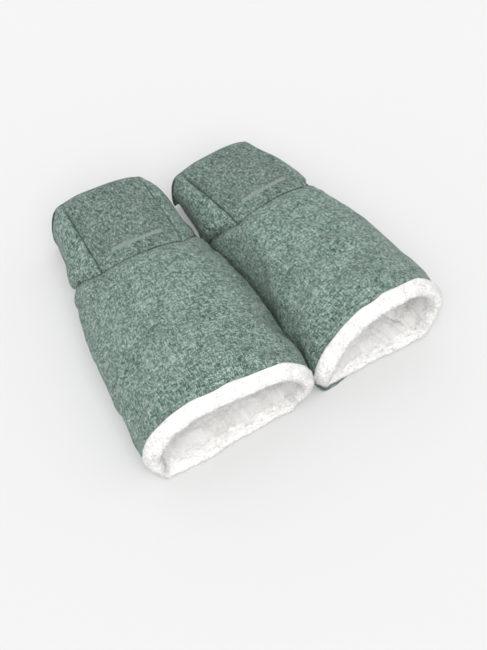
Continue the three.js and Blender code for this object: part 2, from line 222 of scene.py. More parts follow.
def soft_noise(u, v, seed, wrap=None):
    """Smooth noise from -1 to 1 on a grid of unit cells, which repeats after wrap cells in u."""
    cells = 257
    table = np.random.default_rng(seed).uniform(-1, 1, (cells, cells))
    iu, iv = np.floor(u).astype(int), np.floor(v).astype(int)
    fu, fv = smooth(u - iu), smooth(v - iv)
    across = wrap or cells
    u0, u1 = iu % across, (iu + 1) % across
    v0, v1 = iv % cells, (iv + 1) % cells
    low = table[u0, v0] * (1 - fu) + table[u1, v0] * fu
    high = table[u0, v1] * (1 - fu) + table[u1, v1] * fu
    return low * (1 - fv) + high * fv


def span(before, after, gap):
    """A tangent term of the centripetal Catmull-Rom curve."""
    return (after - before) / gap


def crowded(count, pull=0.7):
    """Places from 0 to 1 that crowd together towards both ends."""
    t = np.linspace(0, 1, count)
    return t - pull * np.sin(2 * math.pi * t) / (2 * math.pi)


def outward(points):
    """Unit normals of a grid of points whose second index runs away from the mouth."""
    normal = np.cross(np.gradient(points, axis=1), np.gradient(points, axis=0))
    return normal / (np.linalg.norm(normal, axis=-1, keepdims=True) + 1e-9)


def rounded(points, reach):
    """Points in closed rings along their first index, smoothed round the rings over a reach."""
    columns = len(points)
    spread = reach / GIRTH * columns
    damp = np.exp(-2 * (math.pi * spread * np.fft.rfftfreq(columns)) ** 2)
    smoothed = np.fft.irfft(np.fft.rfft(points, axis=0) * damp[:, None, None], columns, axis=0)
    return np.stack([smoothed[..., 0], points[..., 1], smoothed[..., 2]], -1)


def sunk_by(points, depth):
    """Points in closed rings along their first index, moved inwards by a depth."""
    along = np.roll(points, -1, 0) - np.roll(points, 1, 0)
    length = np.hypot(along[..., 0], along[..., 2]) + 1e-9
    inward = np.stack([-along[..., 2], np.zeros(length.shape), along[..., 0]], -1)
    return points + inward / length[..., None] * np.asarray(depth)[..., None]


class Muff:
    """One muff's skin, and its place in the row frame, which comes from its flap's hinge."""

    def __init__(self, side):
        self.side = side
        self.stations = np.array(STATIONS[side], float)
        self.slump = SLUMP[side]
        joint = next(j for j in frame["joints"] if j["name"] == f"{side}_flap_hinge")
        self.x_axis = np.array(joint["axis"])
        self.y_axis = np.cross((0, 0, 1), self.x_axis)
        hinge = np.array(joint["pos_m"]) * (1, 1, 0)
        self.mouth = hinge - self.y_axis * (FOLD_Y - self.slump) / 1000

    def place(self, points):
        """Millimetres in the muff's frame to metres in the row frame."""
        x, y, z = np.moveaxis(np.asarray(points, float), -1, 0)
        far = smooth((y - SEAM_Y - DROOP_START) / DROOP_RUN)
        far = far * smooth((z - DROOP_FOOT) / DROOP_RISE)
        across = np.minimum(x / CROWN_HALF_WIDTH, DROOP_LIMIT) ** 2
        left_droop, right_droop = CORNER_DROOP[self.side]
        z = z - (END_SAG[self.side] + np.where(x > 0, right_droop, left_droop) * across) * far
        y = y + END_BOW[self.side] * far * (1 - across)
        y = y - self.slump * np.clip(y / SEAM_Y, 0, 1)
        flat = self.mouth + x[..., None] / 1000 * self.x_axis + y[..., None] / 1000 * self.y_axis
        return flat + z[..., None] / 1000 * np.array((0, 0, 1))

    def station(self, y):
        """The sizes in STATIONS at a distance from the mouth."""
        along, *columns = self.stations.T
        return Section(*(np.interp(y, along, column) for column in columns))

    def girth(self, share, y):
        """The skin's (x, z) at a share of the girth and a distance from the mouth."""
        floor_left, floor_right, left, right, side_z, corner, corner_z, top = self.station(y)
        zero = np.zeros_like(y)
        xs = np.stack([zero, floor_right, right, corner, zero, -corner, -left, -floor_left])
        zs = np.stack([zero, zero, side_z, corner_z, top, corner_z, side_z, zero])
        place = (share % 1) * 8
        first = np.floor(place).astype(int)
        t = place - first
        index = np.indices(place.shape)
        near = []
        for offset in (-1, 0, 1, 2):
            k = ((first + offset) % 8,) + tuple(index)
            near.append(np.stack([xs[k], zs[k]], -1))
        p0, p1, p2, p3 = near
        d0, d1, d2 = (np.linalg.norm(b - a, axis=-1, keepdims=True) ** 0.5
                      for a, b in zip(near, near[1:]))
        start = (span(p0, p1, d0) - span(p0, p2, d0 + d1) + span(p1, p2, d1)) * d1
        finish = (span(p1, p2, d1) - span(p1, p3, d1 + d2) + span(p2, p3, d2)) * d1
        t = t[..., None]
        square = -3 * p1 + 3 * p2 - 2 * start - finish
        cube = 2 * p1 - 2 * p2 + start + finish
        point = p1 + start * t + square * t**2 + cube * t**3
        point[..., 1] = np.maximum(point[..., 1], 0)
        return point

    def skin(self, share, y, depth=0.0):
        """Points of the skin, or at a depth below it."""
        given = (np.asarray(a, float) for a in (share, y, depth))
        share, y, depth = np.broadcast_arrays(*given)
        step = 0.004
        along = self.girth(share + step, y) - self.girth(share - step, y)
        along /= np.linalg.norm(along, axis=-1, keepdims=True)
        point = self.girth(share, y)
        x = point[..., 0] - along[..., 1] * depth
        z = point[..., 1] + along[..., 0] * depth
        return np.stack([x, y, z], -1)

    def seam(self, share):
        """Where the cross seam lies at this share of the girth: further back towards the floor."""
        share = np.asarray(share, float)
        corner_z = self.station(SEAM_Y).corner_z
        height = self.girth(share, np.full(share.shape, float(SEAM_Y)))[..., 1]
        drop = np.maximum(0, corner_z - height)
        return SEAM_Y + SEAM_SLANT * drop * (1.5 - 0.5 * drop / corner_z)

    def end_y(self, height):
        """The end flap's outer face at a height."""
        turn_z = self.station(FOLD_Y).top - END_RADIUS
        rise = np.clip(height - turn_z, 0, END_RADIUS)
        return FOLD_Y + np.sqrt(END_RADIUS**2 - rise**2)


def on_side(share, hand):
    """A share of the girth on the right, or for hand -1 the matching one on the left."""
    return share if hand > 0 else 1 - share


# ---- Meshes ----

def new_piece(name, points, faces, material, uvs=None):
    mesh = bpy.data.meshes.new(name)
    corners = [tuple(int(i) for i in face) for face in faces]
    mesh.from_pydata([tuple(p) for p in points], [], corners)
    if uvs is not None:
        layer = mesh.uv_layers.new(name="cloth")
        layer.data.foreach_set("uv", np.asarray(uvs, float)[np.concatenate(corners)].ravel())
    mesh.materials.append(material)
    mesh.polygons.foreach_set("use_smooth", np.ones(len(mesh.polygons), bool))
    piece = bpy.data.objects.new(name, mesh)
    bpy.context.collection.objects.link(piece)
    return piece


def grid_faces(columns, rows, offset=0, wrap_u=False, wrap_v=False, flip=False):
    """Quads of a grid of columns by rows points, with points stored column by column."""
    i = np.arange(columns if wrap_u else columns - 1)
    j = np.arange(rows if wrap_v else rows - 1)
    i, j = (a.ravel() for a in np.meshgrid(i, j, indexing="ij"))
    i2, j2 = (i + 1) % columns, (j + 1) % rows
    quads = np.stack([i * rows + j, i * rows + j2, i2 * rows + j2, i2 * rows + j], 1) + offset
    return quads[:, ::-1] if flip else quads


def slab(name, outer, inner, uv, material, tube=False):
    """A closed cloth piece between two grids of points, already in the row frame."""
    columns, rows = outer.shape[:2]
    count = columns * rows
    faces = [grid_faces(columns, rows, wrap_u=tube),
             grid_faces(columns, rows, count, wrap_u=tube, flip=True)]
    i = np.arange(columns if tube else columns - 1)
    i2 = (i + 1) % columns
    last_row, last_column = rows - 1, (columns - 1) * rows
    edges = [(i * rows, i2 * rows, False), (i * rows + last_row, i2 * rows + last_row, True)]
    if not tube:
        j = np.arange(rows - 1)
        edges += [(j, j + 1, True), (last_column + j, last_column + j + 1, False)]
    for a, b, flip in edges:
        edge = np.stack([a, b, b + count, a + count], 1)
        faces.append(edge[:, ::-1] if flip else edge)
    points = np.concatenate([outer.reshape(-1, 3), inner.reshape(-1, 3)])
    uvs = np.concatenate([uv.reshape(-1, 2)] * 2)
    return new_piece(name, points, np.concatenate(faces), material, uvs)


def girth_lengths(muff, shares, y):
    """Distance round the girth at each share, at one y."""
    points = muff.skin(shares, y)
    steps = np.linalg.norm(np.diff(points, axis=0), axis=-1)
    return np.concatenate([[0], np.cumsum(steps)])


def valley(distance, depth, width):
    """How far a cloth dips beside a seam that is this far away."""
    return depth * np.exp(-((distance / width) ** 2))


def fold_rise(muff, share, y):
    """How far the sleeve's folds and its general unevenness lift the cloth."""
    around = share * GIRTH
    rise = np.zeros(share.shape)
    for layer, (height, cells, length) in enumerate(UNEVENNESS):
        seed = UNEVENNESS_SEED[muff.side] + 2 * layer
        rise = rise + height * soft_noise(share * cells, y / length, seed, cells)
    for centre, centre_y, degrees, length, width, height in FOLDS[muff.side]:
        turn = math.radians(degrees)
        dx, dy = around - centre * GIRTH, y - centre_y
        along = dy * math.cos(turn) + dx * math.sin(turn)
        across = dx * math.cos(turn) - dy * math.sin(turn)
        across = across + FOLD_WANDER * soft_noise(along / FOLD_TURN, along * 0, 11)
        rise = rise + height * np.exp(-((along / length) ** 2) - (across / width) ** 2)
    return rise


def simulated_rise(muff, front, share, v):
    """Wrinkles from a cloth simulation of the sleeve, sampled at each share and v from 0 to 1.

    A coarse cage of the sleeve, sewn down at both ends and underneath, grows a little and buckles.
    """
    columns, rows = CAGE
    cage_share, cage_v = np.meshgrid(np.arange(columns) / columns, np.linspace(0, 1, rows),
                                     indexing="ij")
    y = front + (muff.seam(cage_share) - front) * cage_v
    start = muff.skin(cage_share, y)
    cage = new_piece(f"{muff.side}_cage", muff.place(start).reshape(-1, 3),
                     grid_faces(columns, rows, wrap_u=True), MATERIALS["cloth"])
    held = cage.vertex_groups.new(name="held")
    sewn = (cage_v == 0) | (cage_v == 1) | (start[..., 2] < HELD_BELOW)
    held.add([int(i) for i in np.flatnonzero(sewn.ravel())], 1.0, "REPLACE")
    cloth = cage.modifiers.new("cloth", "CLOTH").settings
    cloth.vertex_group_mass = "held"
    cloth.quality = 6
    cloth.mass = 0.3
    cloth.tension_stiffness = 12
    cloth.compression_stiffness = 12
    cloth.bending_stiffness = 1.5
    cloth.shrink_min = -CLOTH_GROWTH
    cloth.use_pressure = True
    cloth.uniform_pressure_force = 1.0
    cloth.effector_weights.gravity = 0
    scene = bpy.context.scene
    for step in range(1, CLOTH_FRAMES + 1):
        scene.frame_set(step)
    moved = cage.evaluated_get(bpy.context.evaluated_depsgraph_get()).data
    flat = np.empty(len(moved.vertices) * 3)
    moved.vertices.foreach_get("co", flat)
    shift = flat.reshape(columns, rows, 3) * 1000 - muff.place(start) * 1000
    normal = outward(muff.place(np.concatenate([start, start[:1]])))[:-1]
    rise = np.sum(shift * normal, -1)
    rise = LARGEST_MOVE * np.tanh(rise / LARGEST_MOVE)
    scene.frame_set(1)
    mesh = cage.data
    bpy.data.objects.remove(cage)
    bpy.data.meshes.remove(mesh)
    return sampled(rise, share * columns, v * (rows - 1))


def sampled(table, i, j):
    """A table that closes on itself in its first index, read smoothly between its entries."""
    columns, rows = table.shape
    first_i, first_j = np.floor(i).astype(int), np.minimum(np.floor(j).astype(int), rows - 2)
    total = np.zeros(i.shape)
    for a, weight_a in enumerate(spline_weights(i - first_i)):
        for b, weight_b in enumerate(spline_weights(j - first_j)):
            column = (first_i + a - 1) % columns
            row = np.clip(first_j + b - 1, 0, rows - 1)
            total = total + weight_a * weight_b * table[column, row]
    return total


def spline_weights(t):
    """The four weights of a uniform cubic B-spline."""
    return ((1 - t) ** 3 / 6, (3 * t**3 - 6 * t**2 + 4) / 6,
            (-3 * t**3 + 3 * t**2 + 3 * t + 1) / 6, t**3 / 6)


# ---- Materials ----

THREAD_PITCH = 0.9  # of the weave, in millimetres
THREAD_STEP = 3.713  # how far apart neighbouring threads' shades are drawn
THREAD_SHADES = (1, 0.26, 1)  # how fast a thread's shade changes along it
WARP_LAYER, WEFT_LAYER = 0.37, 7.61


def new_material(name, roughness, colour=(0.8, 0.8, 0.8, 1)):
    material = bpy.data.materials.new(name)
    material.use_nodes = True
    shader = material.node_tree.nodes["Principled BSDF"]
    shader.inputs["Roughness"].default_value = roughness
    shader.inputs["Base Color"].default_value = colour
    return material, material.node_tree.nodes, material.node_tree.links, shader


def object_place(nodes):
    return nodes.new("ShaderNodeTexCoord").outputs["Object"]


def cloth_place(nodes):
    """The cloth's UVs, in millimetres, with v along the muff."""
    uv = nodes.new("ShaderNodeUVMap")
    uv.uv_map = "cloth"
    return uv.outputs["UV"]


def stretched_noise(nodes, links, source, scale, detail=2.0, roughness=0.6):
    """A noise whose coordinates are scaled by a different amount each way."""
    mapping = nodes.new("ShaderNodeMapping")
    mapping.inputs["Scale"].default_value = scale
    links.new(source, mapping.inputs["Vector"])
    noise = nodes.new("ShaderNodeTexNoise")
    noise.inputs["Scale"].default_value = 1
    noise.inputs["Detail"].default_value = detail
    noise.inputs["Roughness"].default_value = roughness
    links.new(mapping.outputs["Vector"], noise.inputs["Vector"])
    return noise.outputs["Fac"]


def maths(nodes, links, operation, a, b):
    node = nodes.new("ShaderNodeMath")
    node.operation = operation
    for socket, value in zip(node.inputs, (a, b)):
        if isinstance(value, (int, float)):
            socket.default_value = value
        else:
            links.new(value, socket)
    return node.outputs["Value"]


def ramp(nodes, links, source, stops):
    node = nodes.new("ShaderNodeValToRGB")
    elements = node.color_ramp.elements
    for element, (position, colour) in zip(elements, (stops[0], stops[-1])):
        element.position = position
        element.color = colour
    for position, colour in stops[1:-1]:
        elements.new(position).color = colour
    links.new(source, node.inputs["Fac"])
    return node.outputs["Color"]


def bump(nodes, links, shader, height, strength, distance):
    node = nodes.new("ShaderNodeBump")
    node.inputs["Strength"].default_value = strength
    node.inputs["Distance"].default_value = distance
    links.new(height, node.inputs["Height"])
    links.new(node.outputs["Normal"], shader.inputs["Normal"])


def melange_cloth(name, value):
    """Sage-green plain weave of melange yarn, with its tones scaled by a value."""
    material, nodes, links, shader = new_material(name, 0.92)
    place = cloth_place(nodes)
    split = nodes.new("ShaderNodeSeparateXYZ")
    links.new(place, split.inputs["Vector"])
    across, along = split.outputs["X"], split.outputs["Y"]

    def counted(distance):
        threads = maths(nodes, links, "DIVIDE", distance, THREAD_PITCH)
        return maths(nodes, links, "FLOOR", threads, 0)

    def yarn(number, distance, layer):
        """A shade that stays the same across a thread and changes along it."""
        join = nodes.new("ShaderNodeCombineXYZ")
        links.new(maths(nodes, links, "MULTIPLY", number, THREAD_STEP), join.inputs["X"])
        links.new(distance, join.inputs["Y"])
        join.inputs["Z"].default_value = layer
        return stretched_noise(nodes, links, join.outputs["Vector"], THREAD_SHADES, 1)

    warp_number, weft_number = counted(across), counted(along)
    warp, weft = yarn(warp_number, along, WARP_LAYER), yarn(weft_number, across, WEFT_LAYER)
    turn = maths(nodes, links, "ADD", warp_number, weft_number)
    over = maths(nodes, links, "PINGPONG", turn, 1)
    pick = nodes.new("ShaderNodeMix")
    links.new(over, pick.inputs["Factor"])
    links.new(warp, pick.inputs["A"])
    links.new(weft, pick.inputs["B"])
    layers = [
        (pick.outputs["Result"], 0.80),
        (stretched_noise(nodes, links, place, (0.6, 0.12, 1), 2), 0.10),
        (stretched_noise(nodes, links, place, (0.035, 0.028, 1), 3), 0.10),
    ]
    shade = maths(nodes, links, "MULTIPLY", *layers[0])
    for layer, weight in layers[1:]:
        weighted = maths(nodes, links, "MULTIPLY", layer, weight)
        shade = maths(nodes, links, "ADD", shade, weighted)
    tones = [
        (0.345, (0.011, 0.030, 0.022)),
        (0.435, (0.065, 0.116, 0.094)),
        (0.50, (0.142, 0.218, 0.185)),
        (0.565, (0.242, 0.328, 0.289)),
        (0.66, (0.470, 0.570, 0.525)),
    ]
    stops = [(at, (*(value * c for c in tone), 1)) for at, tone in tones]
    colour = ramp(nodes, links, shade, stops)
    links.new(colour, shader.inputs["Base Color"])
    shader.inputs["Sheen Weight"].default_value = 0.05
    shader.inputs["Sheen Roughness"].default_value = 0.6
    bump(nodes, links, shader, shade, 0.5, 0.0004)
    return material


def teddy_fleece():
    material, nodes, links, shader = new_material("teddy_fleece", 1.0)
    # Painted shade: noise darkens the white fleece in small and larger patches, standing in for the
    # grey the pile's self-shadow gives it; the small noise also makes the pile's bump.
    place = object_place(nodes)
    pile_relief_and_shade = stretched_noise(nodes, links, place, (420, 420, 420), 4, 0.7)
    shade_patch = stretched_noise(nodes, links, place, (60, 60, 60), 3)
    shade = maths(nodes, links, "ADD", maths(nodes, links, "MULTIPLY", pile_relief_and_shade, 0.5),
                  maths(nodes, links, "MULTIPLY", shade_patch, 0.5))
    colour = ramp(nodes, links, shade, [
        (0.34, (0.68, 0.665, 0.64, 1)),
        (0.47, (0.82, 0.81, 0.792, 1)),
        (0.58, (0.86, 0.853, 0.84, 1)),
    ])
    links.new(colour, shader.inputs["Base Color"])
    shader.inputs["Sheen Weight"].default_value = 0.1
    shader.inputs["Sheen Roughness"].default_value = 0.8
    bump(nodes, links, shader, pile_relief_and_shade, 0.6, 0.0012)
    return material


def snap_metal():
    material, nodes, links, shader = new_material("plated_stud", 0.3, (0.3, 0.31, 0.32, 1))
    shader.inputs["Metallic"].default_value = 1
    place = object_place(nodes)
    scuff = stretched_noise(nodes, links, place, (900, 900, 250), 4)
    rough = ramp(nodes, links, scuff, [
        (0.3, (0.22, 0.22, 0.22, 1)),
        (0.7, (0.42, 0.42, 0.42, 1)),
    ])
    links.new(rough, shader.inputs["Roughness"])
    bump(nodes, links, shader, scuff, 0.15, 0.0001)
    return material


def printed_ink():
    material, nodes, links, shader = new_material("pale_print", 0.7)
    weave = stretched_noise(nodes, links, cloth_place(nodes), (1.2, 0.9, 1))
    colour = ramp(nodes, links, weave, [
        (0.38, (0.10, 0.15, 0.13, 1)),
        (0.60, (0.28, 0.30, 0.28, 1)),
    ])
    links.new(colour, shader.inputs["Base Color"])
    bump(nodes, links, shader, weave, 0.4, 0.0002)
    return material


# Very dark green thread. On the crown's side seams it is painted shade, a dark line for the shade
# in the seams' grooves; the bartacks are made of it too.
def thread_and_seam_shade():
    material, nodes, links, shader = new_material("dark_thread_and_seam_shade", 0.8)
    place = object_place(nodes)
    ply = stretched_noise(nodes, links, place, (2500, 2500, 2500), 2)
    colour = ramp(nodes, links, ply, [
        (0.3, (0.02, 0.045, 0.035, 1)),
        (0.7, (0.06, 0.11, 0.09, 1)),
    ])
    links.new(colour, shader.inputs["Base Color"])
    bump(nodes, links, shader, ply, 0.3, 0.0001)
    return material


MATERIALS = {
    "cloth": melange_cloth("sage_melange_weave", 0.87),
    # Painted shade: the crown and end flap get the same weave with its tones darkened to 0.68,
    # against 0.87 for the rest, for the lesser light the crown gets.
    "crown": melange_cloth("sage_melange_crown_painted_shade", 0.68),
    "fleece": teddy_fleece(),
    "metal": snap_metal(),
    "ink": printed_ink(),
    "thread": thread_and_seam_shade(),
}


# ---- Pieces of one muff ----

def sleeve(muff):
    """The outer cloth of the sleeve, from just behind the fleece roll to the cross seam."""
    columns, rows = 260, 170
    shares = np.arange(columns) / columns
    share, v = np.meshgrid(shares, crowded(rows), indexing="ij")
    mouth = muff.skin(share, 0)
    low_left = (1 - smooth(mouth[..., 2] / 40)) * (1 - smooth((mouth[..., 0] + 62) / 40))
    front = 1.5 + soft_noise(share * 14, v * 0, 21, 14) - SHELL_LEAD[muff.side] * low_left
    seam = muff.seam(share)
    y = front + (seam + UNDERLAP - front) * v
    base = rounded(muff.skin(share, y), ROUNDING)
    above = smooth(base[..., 2] / FLOOR_FADE)
    away = smooth((seam - y) / SEAM_FADE) * smooth((y - front) / MOUTH_FADE)
    rise = fold_rise(muff, share, y)
    rise = rise + simulated_rise(muff, 2, share, np.clip(y / seam, 0, 1))

    # The cloth swells along the cross seam, and puckers there, most of all beside the crown.
    swell = 2.2 * valley(seam - y - 15, 1, 11)
    beside = smooth((np.abs(base[..., 0]) - CROWN_HALF_WIDTH) / 8)
    pucker = (0.7 + 1.1 * beside) * soft_noise(share * 44, y / 40, 23, 44)
    rise = rise * away * above + above * (swell + pucker * valley(seam - y - 8, 1, 9))

    dip = UNDER_DIP * np.where(y > seam, 1, valley(seam - y, 1, SEAM_WIDTH))
    sunk = (dip + valley(y - front, 1, 3)) * np.maximum(above, 0.45) - rise
    outer = sunk_by(base, sunk)
    inner = sunk_by(base, np.maximum(sunk, -1.5) + CLOTH)
    around = np.repeat(girth_lengths(muff, shares, 100)[:, None], rows, 1)
    piece = slab(f"{muff.side}_sleeve_cloth", muff.place(outer), muff.place(inner),
                 np.stack([around, y], -1), MATERIALS["cloth"], tube=True)
    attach(piece, f"{muff.side}_muff")
    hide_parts(f"{muff.side}_sleeve_upper_shell", f"{muff.side}_sleeve_base_shell")


def fleece(muff):
    """The fleece lining and the roll that it makes round the mouth, in one piece, with its pile.

    Its section runs from the hood forward to the mouth, round the roll, and back outside the
    wadding. The first `shown` of its points are the part with pile.
    """
    columns = 420
    inside, roll = 120, 44
    shown = inside + roll
    back_depth, inner_depth = SLEEVE_FLEECE
    shares = np.arange(columns) / columns

    # How far the roll leads or is drawn back at its lower lip, and how thick it is.
    mouth = muff.skin(shares, 0)
    low = 1 - smooth(mouth[:, 2] / muff.station(0).side_z)
    left_lead, right_lead = LIP_LEAD[muff.side]
    across = smooth((mouth[:, 0] + 80) / 160)
    lead = low * (left_lead + (right_lead - left_lead) * across)
    ahead, drawn_back = np.maximum(lead, 0)[:, None], np.maximum(-lead, 0)[:, None]
    thick = (1 - 0.3 * smooth((low - 0.8) / 0.2))[:, None] * ROLL_THICKNESS

    # The section as y and a depth below the skin: inside the sleeve, round the roll, and back.
    inside_y = np.linspace(LINING_END, LINING_FRONT, inside)
    inside_y = np.broadcast_to(inside_y, (columns, inside))
    inside_depth = inner_depth + (thick - inner_depth) * smooth((60 - inside_y) / 60)
    turn = np.linspace(0, math.pi, roll)
    roll_y = 1 - (ROLL_REACH + ahead) * np.sin(turn)
    least = 0.3 + 2.4 * smooth(drawn_back / 8)
    roll_depth = least + (thick - least) * (1 + np.cos(turn)) / 2
    back = [(1.2, 3.0), *((at, back_depth) for at in (20, 120, LINING_END - 1))]
    back = np.broadcast_to(back, (columns, len(back), 2))
    y = np.concatenate([inside_y, roll_y, back[..., 0]], 1)
    y = y + drawn_back * smooth((70 - y) / 80)
    depth = np.concatenate([inside_depth, roll_depth, back[..., 1]], 1)
    share, k = np.meshgrid(shares, np.arange(y.shape[1]), indexing="ij")
    has_pile = k < shown
    length = np.cumsum(np.hypot(np.diff(y, axis=1, prepend=y[:, :1]),
                                np.diff(depth, axis=1, prepend=depth[:, :1])), axis=1)

    # Unevenness, and the fold in the lining's floor.
    front = np.where(has_pile, smooth((16 - y) / 14), 0)
    y = y + 1.6 * soft_noise(share * 26, length / 30, 31, 26) * front
    depth = depth + np.where(has_pile, 0.8 * soft_noise(share * 24, length / 20, 33, 24), 0)
    crease_share, crease_y = CREASE[muff.side]
    crease = valley(0.92 * (share - crease_share) * GIRTH + 0.4 * (y - crease_y), 1, 3.2)
    depth = depth - 6.0 * crease * valley(y - crease_y, 1, 17) * (k < inside)
    base = rounded(muff.skin(share, np.minimum(y, muff.seam(share) - 1)), ROUNDING)
    body = sunk_by(base, depth)
    softer = smooth((depth - 4) / 5)[..., None] * has_pile[..., None]
    body = body * (1 - softer) + rounded(body, 1.6 * ROUNDING) * softer

    around = np.roll(body, -1, 0) - np.roll(body, 1, 0)
    normal = np.cross(np.gradient(body, axis=1), around)
    normal /= np.linalg.norm(normal, axis=-1, keepdims=True) + 1e-9
    pile = 0.4 * soft_noise(share * 84, length / 6, 34, 84)
    pile = pile + 0.35 * soft_noise(share * 150, length / 3.2, 35, 150)
    pile = pile + 0.35 * soft_noise(share * 250, length / 1.9, 36, 250)
    weight = np.where(has_pile, 1, 0) * smooth((shown - 1 - k) / 4)
    body = body + normal * (pile * weight)[..., None]
    body[..., 2] = np.maximum(body[..., 2], 0.2)
    faces = grid_faces(columns, y.shape[1], wrap_u=True, wrap_v=True, flip=True)
    piece = new_piece(f"{muff.side}_fleece_lining", muff.place(body).reshape(-1, 3), faces,
                      MATERIALS["fleece"])
    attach(piece, f"{muff.side}_muff")
    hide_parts(f"{muff.side}_sleeve_lining", f"{muff.side}_sleeve_wadding",
                f"{muff.side}_mouth_rim")
    near = slice(50, shown - 1)
    fleece_pile(muff, "fleece_pile", "muff", body[:, near], normal[:, near], 17000, 0.5)


def fleece_pile(muff, name, body, points, normals, count, crowding):
    """Small tapering tufts on a grid of fleece. Less crowding than 1 favours its last rows."""
    draw = np.random.default_rng(41)
    columns, rows = points.shape[:2]
    i = draw.integers(0, columns, count)
    j = np.clip((rows * draw.uniform(0, 1, count) ** crowding).astype(int), 0, rows - 1)
    root, out = points[i, j], normals[i, j]
    lean, sunk = 0.6, 0.5
    way = out + draw.normal(0, lean, (count, 3))
    way /= np.linalg.norm(way, axis=1, keepdims=True)
    side = np.cross(way, draw.normal(0, 1, (count, 3)))
    side /= np.linalg.norm(side, axis=1, keepdims=True) + 1e-9
    other = np.cross(way, side)
    tall = draw.uniform(1.2, 2.9, count)[:, None]
    wide = draw.uniform(0.3, 0.6, count)[:, None]
    base = root - out * sunk
    foot = [base + wide * (side * math.cos(a) + other * math.sin(a))
            for a in (0, 2 * math.pi / 3, 4 * math.pi / 3)]
    tip = root + way * tall
    tufts = np.stack([*foot, tip], 1)
    tufts[..., 2] = np.maximum(tufts[..., 2], 0.1)
    first = np.arange(count)[:, None] * 4
    sides = ((0, 1, 3), (1, 2, 3), (2, 0, 3), (2, 1, 0))
    faces = np.concatenate([first + np.array(corners) for corners in sides])
    piece = new_piece(f"{muff.side}_{name}", muff.place(tufts).reshape(-1, 3), faces,
                      MATERIALS["fleece"])
    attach(piece, f"{muff.side}_{body}")


def flap_drop(muff, bottom):
    """Length of the end flap's upright part, down to a height."""
    return muff.station(FOLD_Y).top - END_RADIUS - bottom


def hood_top(muff, u, travelled, depth=0.0, inset=0.0, bottom=FLAP_BOTTOM):
    """Points of a layer that runs over the crown, round the far edge and down the end flap.

    u runs across from the right corner to the left one, travelled is the distance from the seam,
    and an inset narrows the flap at each side.
    """
    share = RIGHT_CORNER + (LEFT_CORNER - RIGHT_CORNER) * u
    seam = muff.seam(share)
    y = seam + (FOLD_Y - seam) * np.clip(travelled / CROWN_LENGTH, 0, 1)
    crown = muff.skin(share, y, depth)
    turn = np.clip((travelled - CROWN_LENGTH) / END_RADIUS, 0, math.pi / 2)
    fall = np.maximum(0, travelled - CROWN_LENGTH - TURN_LENGTH) / flap_drop(muff, bottom)
    root = muff.skin(share, FOLD_Y)
    radius = END_RADIUS - depth
    below = root[..., 2] - END_RADIUS
    height = below + radius * np.cos(turn) - fall * (below - bottom)
    half = half_width(muff, height, np.sign(root[..., 0]))
    corner = muff.station(FOLD_Y).corner
    x = root[..., 0] * (1 + (half / corner - 1) * np.sin(turn))
    x = x * (1 - inset / half * np.sin(turn))
    flap = np.stack([x, FOLD_Y + radius * np.sin(turn), height], -1)
    return np.where((travelled > CROWN_LENGTH)[..., None], flap, crown)


def hood_cloth(muff, u, travelled, proud=0.0):
    """The crown and flap cloth with its relief, at a distance above its outer face."""
    base = hood_top(muff, u, travelled)
    edge = CROWN_SPAN * np.minimum(u, 1 - u)  # how far away the nearer side seam is
    on_flap = smooth((travelled - CROWN_LENGTH - 30) / 30)

    # The side seams' valleys and beads, the cross seam's valley, and the flap's hem.
    dip = valley(edge, 0.7, 1.6) * (1 - 0.6 * on_flap) + valley(travelled, TOP_DIP, SEAM_WIDTH)
    bead = 0.7 * valley(edge - 4, 1, 2.2) * smooth(travelled / 12)
    to_hem = CROWN_LENGTH + TURN_LENGTH + flap_drop(muff, FLAP_BOTTOM) - travelled
    hem = 0.7 * valley(to_hem - 4, 1, 3) - 0.6 * valley(to_hem - 9, 1, 1.2)

    # The crown is padded and uneven, and puckers at the cross seam; the flap is smoother.
    rise = 0.9 * soft_noise(u * 3, travelled / 40, 51)
    rise = rise + 0.45 * soft_noise(u * 8, travelled / 14, 52)
    rise = rise + 1.4 * valley(travelled - 15, 1, 9) + 1.2 * np.sin(math.pi * np.clip(u, 0, 1))
    pucker = 0.6 * soft_noise(u * 11, travelled * 0, 53) * valley(travelled - 5, 1, 5)
    rise = (rise * smooth(travelled / 12) + pucker) * smooth(edge / 7)
    flap_rise = 0.6 * soft_noise(u * 4, travelled / 25, 54)
    rise = rise * (1 - smooth((travelled - CROWN_LENGTH) / 30))
    rise = rise + 1.5 * on_flap * smooth(edge / 12) * flap_rise
    return base + outward(base) * (rise + bead + hem - dip + proud)[..., None]


def half_width(muff, height, hand):
    """Half-width of the hood's far end at a height, on the right (hand 1) or the left (hand -1)."""
    shares = np.linspace(0.126, 0.5, 80)
    end = np.full(shares.shape, float(END_Y))
    right, left = muff.girth(shares, end), muff.girth(1 - shares, end)
    on_right = np.interp(height, right[:, 1], right[:, 0])
    on_left = np.interp(height, left[:, 1], -left[:, 0])
    return np.maximum(np.where(hand > 0, on_right, on_left), muff.station(FOLD_Y).corner)


def crown_and_flap(muff):
    """The crown panel and the end flap: one cloth, shaped round the far edge at the hinge line."""
    whole = CROWN_LENGTH + TURN_LENGTH + flap_drop(muff, FLAP_BOTTOM)
    u, travelled = np.meshgrid(crowded(110), crowded(230, 0.5) * whole, indexing="ij")
    uv = np.stack([(u - 0.5) * CROWN_WIDTH, travelled + SEAM_Y], -1)
    side = muff.side
    # Its darker weave is painted shade on the crown and end flap.
    piece = slab(f"{side}_crown_and_flap_cloth", muff.place(hood_cloth(muff, u, travelled)),
                 muff.place(hood_cloth(muff, u, travelled, -CLOTH)), uv, MATERIALS["crown"])
    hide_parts(f"{side}_crown_panel", f"{side}_end_flap")
    start = muff.place((0, FOLD_Y - BLEND_BEFORE, BLEND_HEIGHT))
    end = muff.place((0, FOLD_Y + BLEND_AFTER, BLEND_HEIGHT))
    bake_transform(piece)


